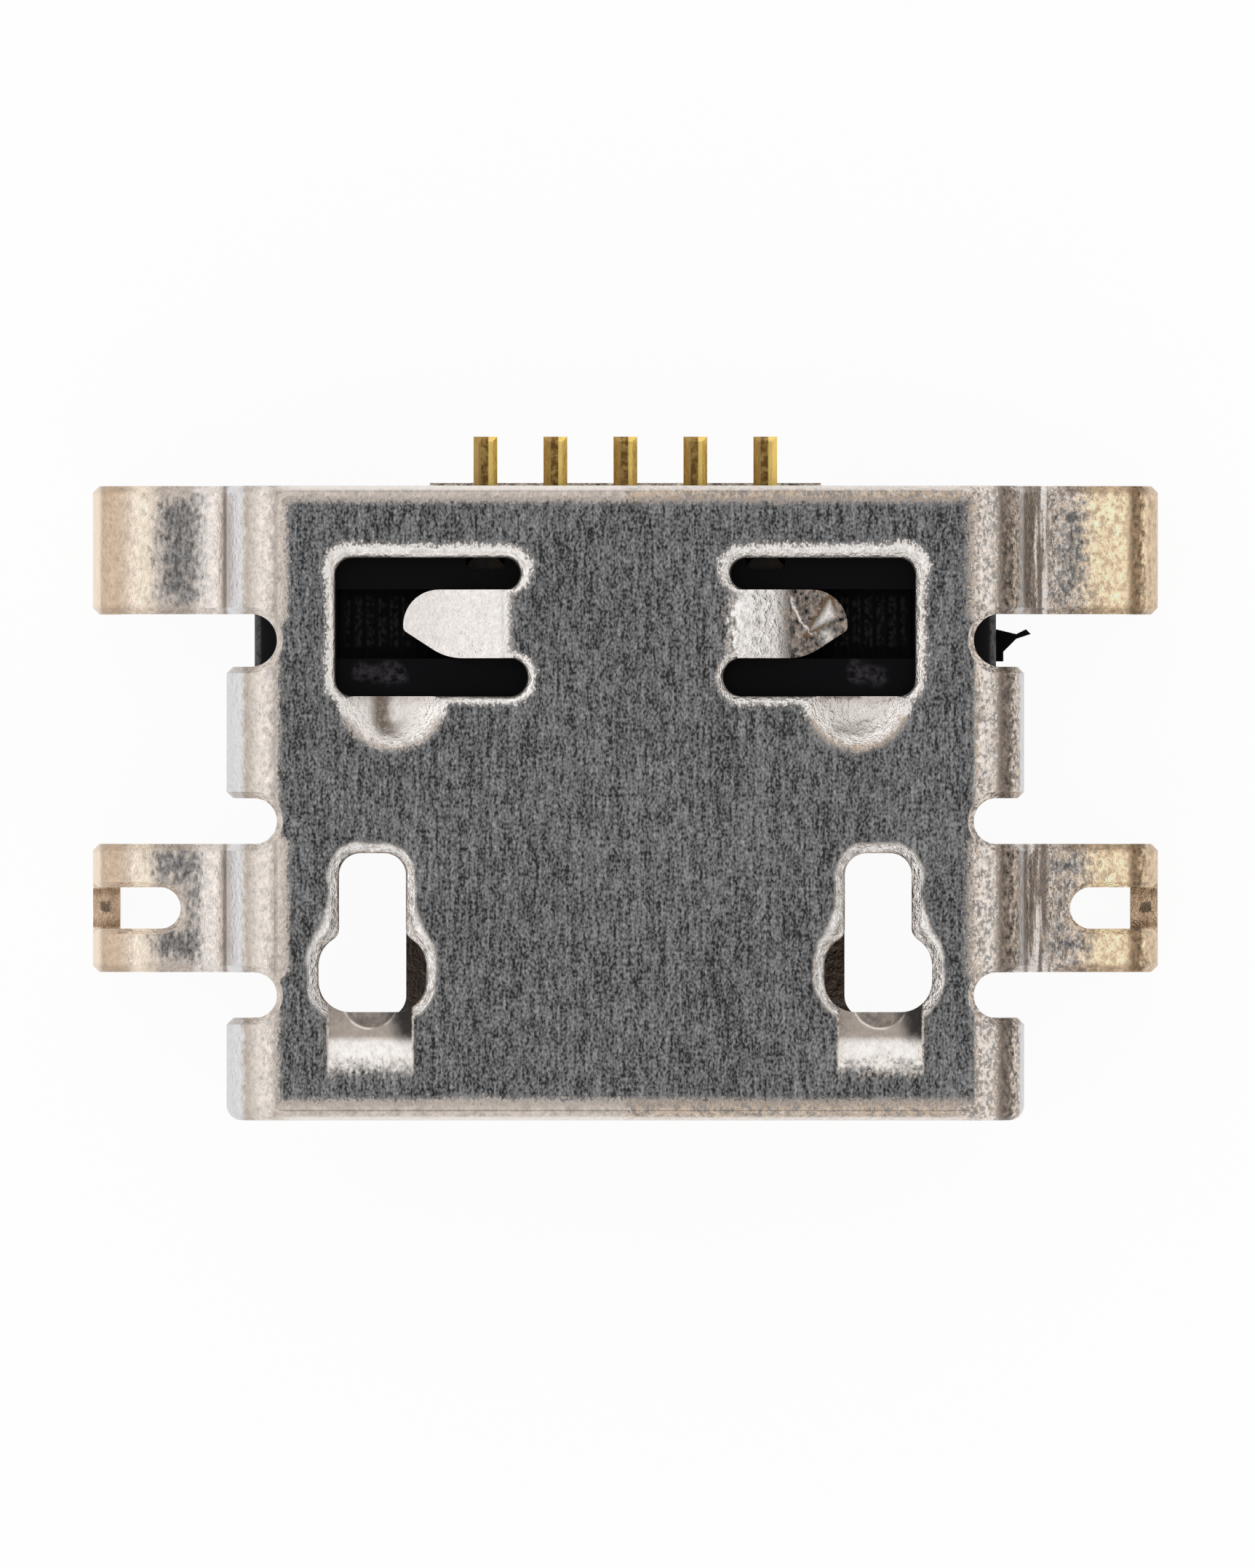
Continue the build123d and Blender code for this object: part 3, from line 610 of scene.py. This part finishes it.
    def paint_stakes(self):
        """Stakes: white in front as a painted highlight on the bowl's rim, painted shade towards
        the window's edge, a dark fold in the left one, and faint lines and a painted shadow line at
        the window's edge in the right one.
        """
        side_x, y, stake = self.side_x, self.y, self.stake
        bowl = (stake + self.wobble(0.10, 0.10)).fall(-0.03, 0.02)
        bowl = bowl * self.z.ramp(0.80, 0.88) * y.fall(3.93, 3.95)
        fold = rounded_box(side_x, y, *STAKE_FOLD).abs() + self.wobble(0.10, 0.05)
        fold = fold.fall(0.03, 0.14) * side_x.fall(-2.24, -1.98)
        fold = fold * (self.peel + self.grain).ramp(0.75, 1.05, 0.75, 1.0)
        smudge = leaning_box(side_x, y, *STAKE_SMUDGE) + self.wobble(0.10)
        # A painted shadow line where the window's edge bulges
        edge_shadow = leaning_box(side_x, y, *STAKE_EDGE_SHADOW) + self.wobble(0.10)
        stain_and_shadow = fold.higher(smudge.fall(-0.02, 0.10, 0.50), edge_shadow.fall(0.0, 0.05, 0.85))
        bowl_colour = layered(
            self.tree,
            self.flecked(PALE_STEEL, 0.2, 0.92),
            (stake.ramp(-0.20, -0.06), HIGHLIGHT_STEEL),
            (y.ramp(3.82, 3.93) * 0.45, DULL_STEEL),
            (stain_and_shadow, SHADED_STEEL),
        )
        self.paint((bowl, bowl_colour))

    def paint_latches(self):
        """Latches: cream on the left as a painted highlight, and on the right a dark speckled outer
        part, with a scratch and bright facets as painted highlights.
        """
        side_x, y, right = self.side_x, self.y, self.right
        on_latch = self.window.fall(-0.03, -0.01) * self.z.ramp(0.45, 0.55) * self.nz.ramp(0.3, 0.5)
        dark_outer = (side_x + self.wobble(0.26, 0.14)).ramp(1.36, 1.54)
        scratch = (disc(side_x, y, *LATCH_SCRATCH) + self.wobble(0.08)).band(-0.007, 0.007, 0.010)
        scratch = scratch * side_x.band(1.53, 1.73, 0.02) * y.band(4.50, 4.86, 0.03)
        glint = wedge(side_x, y, LATCH_GLINT) + self.wobble(0.10, 0.04)
        facet = glint.fall(-0.05, 0.03) * 0.9
        left_side = (side_x * 0.83 - y * 0.56 + 1.03).fall(-0.02, 0.0)
        outline = glint.band(0.015, 0.045, 0.012) * left_side * right
        dimple = (disc(side_x, y, *LATCH_DIMPLE) + self.wobble(0.22)).fall(-0.03, 0.03) * right
        # The latches' cream ground is a painted highlight, and the scratch and the facet are
        # painted highlights too
        latch_colour = layered(
            self.tree,
            self.flecked(HIGHLIGHT_STEEL, right * 0.50 + 0.16, right * 0.06 + 0.86),
            (dark_outer * 0.92, self.flecked(SHADED_STEEL, 2.6, 0.85)),
            (outline * 0.9, BROWN_EDGE),
            (dimple * 0.75, self.flecked(PALE_STEEL, 1.0, 0.85)),
            (scratch.higher(facet) * 0.92, self.flecked(HIGHLIGHT_STEEL, 0.5, 1.0)),
        )
        self.paint((on_latch.higher(self.lift), latch_colour))

    def paint_dark_flats(self):
        """The painted dark reflection, with brushed streaks, on every dark place, a painted
        highlight on the sheared edges of the lances, and painted shade along the slit beside them.
        """
        streaks = uneven((self.streak, 3.4), (self.brushing, 1.3))
        tone = streaks + uneven((self.specks, 3.8), (self.broad, 0.4)) + 1.0
        dark = tinted(self.tree, DARK_REFLECTION_STEEL, tone.higher(0.2))
        off_blade = (self.on_lance * self.start).invert()
        self.darkest = (self.dark_top_reflection * off_blade).higher(self.dark_ear_reflections(), self.dark_foot_reflection)
        beside = self.across.abs()
        broken = (self.grain + self.peel).ramp(0.85, 1.05) * self.y.band(0.44, 1.0, 0.05)
        # A painted highlight on the sheared edges, and painted shade in a line along the slit
        # beside them
        sheared = beside.band(0.385, 0.405, 0.010) * self.z.ramp(0.85, 0.90) * broken
        gap_shade_line = beside.band(0.412, 0.428, 0.010) * self.top * broken
        self.paint((self.darkest, dark), (sheared * 0.8, PALE_STEEL), (gap_shade_line * 0.6, BROWN_EDGE))

    def paint_inside(self):
        """Painted shade in dull brown on the inside of the narrow wall, seen through the openings.
        """
        z = self.z
        inside = z.fall(0.70, 0.85) * z.band(-1.10, 0.50, 0.02) * self.nz.ramp(0.2, 0.5)
        inside = inside * self.x.fall(2.85, 3.05) * self.y.fall(5.80, 5.86)
        self.paint((inside * 0.9, self.flecked(INNER_SHADE_STEEL, 0.6, 1.0)))

    def finish(self):
        """Sets the shader: rougher where it is pale, and rolled edges and orange peel in relief."""
        tree, shader = self.tree, self.shader
        pale = self.darkest.invert()
        put(tree, self.colour, shader.inputs["Base Color"])
        put(tree, pale * 0.14 + 0.24 + self.wobble(0.1), shader.inputs["Roughness"])
        shader.inputs["Metallic"].default_value = 1.0
        roll = self.edges.ramp(-0.13, 0.03).invert() * (self.at_keyhole * -0.01 - 0.022)
        relief = roll * self.top + self.peel * (self.right * 0.025 + 0.020) + self.grain * 0.008
        bump(tree, shader, relief, MM, (pale * 0.85 + 0.15) * (self.on_lance * -0.6 + 1.0))


def plastic_material():
    """Black moulded plastic with a fine satin skin, a few scuffs and a painted sheen on upright
    faces.
    """
    made, tree, shader = material("black_plastic")
    place = place_fields(tree)
    side_x, y, _ = place
    x = side_x.abs()
    skin = noise(tree, place, *PLASTIC_SKIN)
    broad = noise(tree, place, *PLASTIC_BROAD)
    scuff = rounded_box(side_x, y, *LEFT_SCUFF).lower(rounded_box(side_x, y, *RIGHT_SCUFF))
    scuff = (scuff + uneven((broad, 0.25), (skin, 0.10))).fall(-0.03, 0.04, 0.8)
    ribs = side_x.math("WRAP", RIB_PITCH / 2, -RIB_PITCH / 2).abs().ramp(0.010, 0.026)
    pocket = x.band(1.95, 2.60, 0.04) * y.band(4.40, 4.86, 0.02) * skin.ramp(0.42, 0.60)
    upright = facing(tree, "Z").abs().fall(0.3, 0.6)
    moulded = (uneven((skin, 1.4), (broad, 1.6)) + 1.0).higher(0.3)
    # A lighter line along the housing's outer edges
    light_edge_line = x.band(3.385, 3.432, 0.015) * skin.ramp(0.3, 0.6)
    colour = layered(
        tree,
        BLACK_PLASTIC,
        (scuff * skin.ramp(0.35, 0.65), SCUFF_PLASTIC),
        (ribs * pocket * 0.8, SCUFF_PLASTIC),
        # Upright faces get a lighter painted sheen
        (upright, tinted(tree, SIDE_SHEEN_PLASTIC, moulded)),
        (light_edge_line * 0.9, EDGE_LINE_PLASTIC),
    )
    put(tree, colour, shader.inputs["Base Color"])
    put(tree, broad * 0.25 + 0.32 + scuff * 0.2, shader.inputs["Roughness"])
    shader.inputs["Specular IOR Level"].default_value = 0.06
    bump(tree, shader, skin + broad * 0.8, 0.006 * MM, 0.5)
    return made


def gold_material():
    """Gold plating, with a painted dark reflection in brown along the middle of each tail, a
    painted highlight on its right facet and painted shade on its left, and painted shade where the
    contacts run inside the housing.
    """
    made, tree, shader = material("gold_plating")
    place = place_fields(tree)
    side_x, y, z = place
    grain = noise(tree, place, *GOLD_GRAIN)
    spots = noise(tree, place, *GOLD_SPOTS)
    across = side_x.math("WRAP", PITCH / 2, -PITCH / 2)
    middle = mix(tree, spots.ramp(0.40, 0.65), BROWN_GOLD, MID_GOLD)
    stripes = mix(tree, across.ramp(-0.050, -0.035), MID_GOLD, middle)
    stripes = mix(tree, across.ramp(0.020, 0.035), stripes, GOLD)
    # Painted highlight on faces that look right and painted shade on faces that look left, a
    # painted dark reflection in brown along the tails' tops, painted shade inside the housing, and
    # plain gold underneath
    colour = layered(
        tree,
        MID_GOLD,
        (facing(tree, "X").ramp(-0.35, 0.35), GOLD),
        (z.ramp(0.09, 0.10), stripes),
        (y.fall(5.70, 5.80, 0.985) * z.ramp(0.02, 0.05), DARK_SPOT),
        (facing(tree, "Z").fall(-0.98, -0.80), GOLD),
    )
    colour = tinted(tree, colour, uneven((grain, 0.7)) + 1.0)
    put(tree, colour, shader.inputs["Base Color"])
    shader.inputs["Metallic"].default_value = 1.0
    put(tree, grain * 0.2 + 0.16, shader.inputs["Roughness"])
    bump(tree, shader, grain, 0.004 * MM, 0.5)
    return made


def dress(piece, finish):
    """Gives a piece its material and smooth shading over its bends."""
    piece.data.materials.clear()
    piece.data.materials.append(finish)
    weld = piece.modifiers.new("weld", "WELD")
    weld.merge_threshold = WELD_GAP * MM
    split = piece.modifiers.new("sharp_edges", "EDGE_SPLIT")
    split.split_angle = math.radians(SHARP_ANGLE)
    weighted = piece.modifiers.new("weighted_normals", "WEIGHTED_NORMAL")
    weighted.mode = "FACE_AREA_WITH_ANGLE"
    weighted.weight = NORMAL_WEIGHT


def seen_directly(tree):
    """One for rays from the camera, mirrors and glass, and zero for light that falls on things."""
    path = tree.nodes.new("ShaderNodeLightPath")
    kinds = ("Camera", "Glossy", "Transmission")
    rays = [Field(tree, path.outputs[f"Is {kind} Ray"]) for kind in kinds]
    return rays[0].higher(*rays[1:])


def make_floor():
    """Plain white floor. What the camera sees of it is nearly white, and keeps a soft shadow."""
    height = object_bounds()[0].z
    turns = ((-1, -1), (1, -1), (1, 1), (-1, 1))
    corners = [(a * FLOOR_REACH, b * FLOOR_REACH, height) for a, b in turns]
    mesh = bpy.data.meshes.new("floor")
    mesh.from_pydata(corners, [], [(0, 1, 2, 3)])
    floor = bpy.data.objects.new("floor", mesh)
    bpy.context.scene.collection.objects.link(floor)
    made, tree, shader = material("floor_white")
    put(tree, FLOOR_WHITE, shader.inputs["Base Color"])
    shader.inputs["Roughness"].default_value = 0.9
    glow = tree.nodes.new("ShaderNodeEmission")
    put(tree, WHITE, glow.inputs["Color"])
    blend = tree.nodes.new("ShaderNodeMixShader")
    put(tree, seen_directly(tree) * FLOOR_GLOW, blend.inputs[0])
    tree.links.new(shader.outputs[0], blend.inputs[1])
    tree.links.new(glow.outputs[0], blend.inputs[2])
    tree.links.new(blend.outputs[0], tree.nodes["Material Output"].inputs["Surface"])
    mesh.materials.append(made)


def make_world():
    """White studio that is dimmer straight overhead, as behind a camera, and on the right."""
    world = bpy.data.worlds.new("studio")
    bpy.context.scene.world = world
    world.use_nodes = True
    tree = world.node_tree
    background = tree.nodes["Background"]
    coordinates = tree.nodes.new("ShaderNodeTexCoord")
    split = tree.nodes.new("ShaderNodeSeparateXYZ")
    tree.links.new(coordinates.outputs["Generated"], split.inputs[0])
    overhead = Field(tree, split.outputs["Z"]).ramp(0.88, 0.99, 1.0, OVERHEAD_GLOW)
    to_right = Field(tree, split.outputs["X"]).ramp(-0.1, 0.7, 1.0, RIGHT_GLOW)
    put(tree, overhead * to_right, background.inputs["Strength"])
    put(tree, WHITE, background.inputs["Color"])


def make_lamp(name, place, radiance):
    """Square soft box that faces the part."""
    light = bpy.data.lights.new(name, "AREA")
    light.shape = "SQUARE"
    light.size = LAMP_SIZE
    light.energy = radiance * math.pi * LAMP_SIZE**2
    lamp = bpy.data.objects.new(name, light)
    lamp.location = place
    lamp.rotation_mode = "QUATERNION"
    lamp.rotation_quaternion = (-Vector(place)).to_track_quat("-Z", "Y")
    bpy.context.scene.collection.objects.link(lamp)


def make_camera():
    """Long lens straight above, framed as the photograph is."""
    data = bpy.data.cameras.new("camera")
    data.sensor_width = SENSOR_WIDTH
    data.lens = LENS
    data.clip_start = CLIP_START
    data.clip_end = CLIP_END
    distance = LENS / SENSOR_WIDTH * FRAME_HEIGHT * MM
    camera = bpy.data.objects.new("camera", data)
    camera.location = (AIM[0] * MM, AIM[1] * MM, TOP * MM + distance)
    bpy.context.scene.collection.objects.link(camera)
    bpy.context.scene.camera = camera


def main():
    finishes = {"shell": Steel().made, "housing": plastic_material()}
    gold = gold_material()
    for name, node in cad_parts.items():
        dress(node, finishes.get(name, gold))
    make_floor()
    make_world()
    for name, place, radiance in LAMPS:
        make_lamp(name, place, radiance)
    make_camera()
    bpy.context.scene.view_settings.view_transform = "Standard"
    bpy.context.view_layer.update()


main()
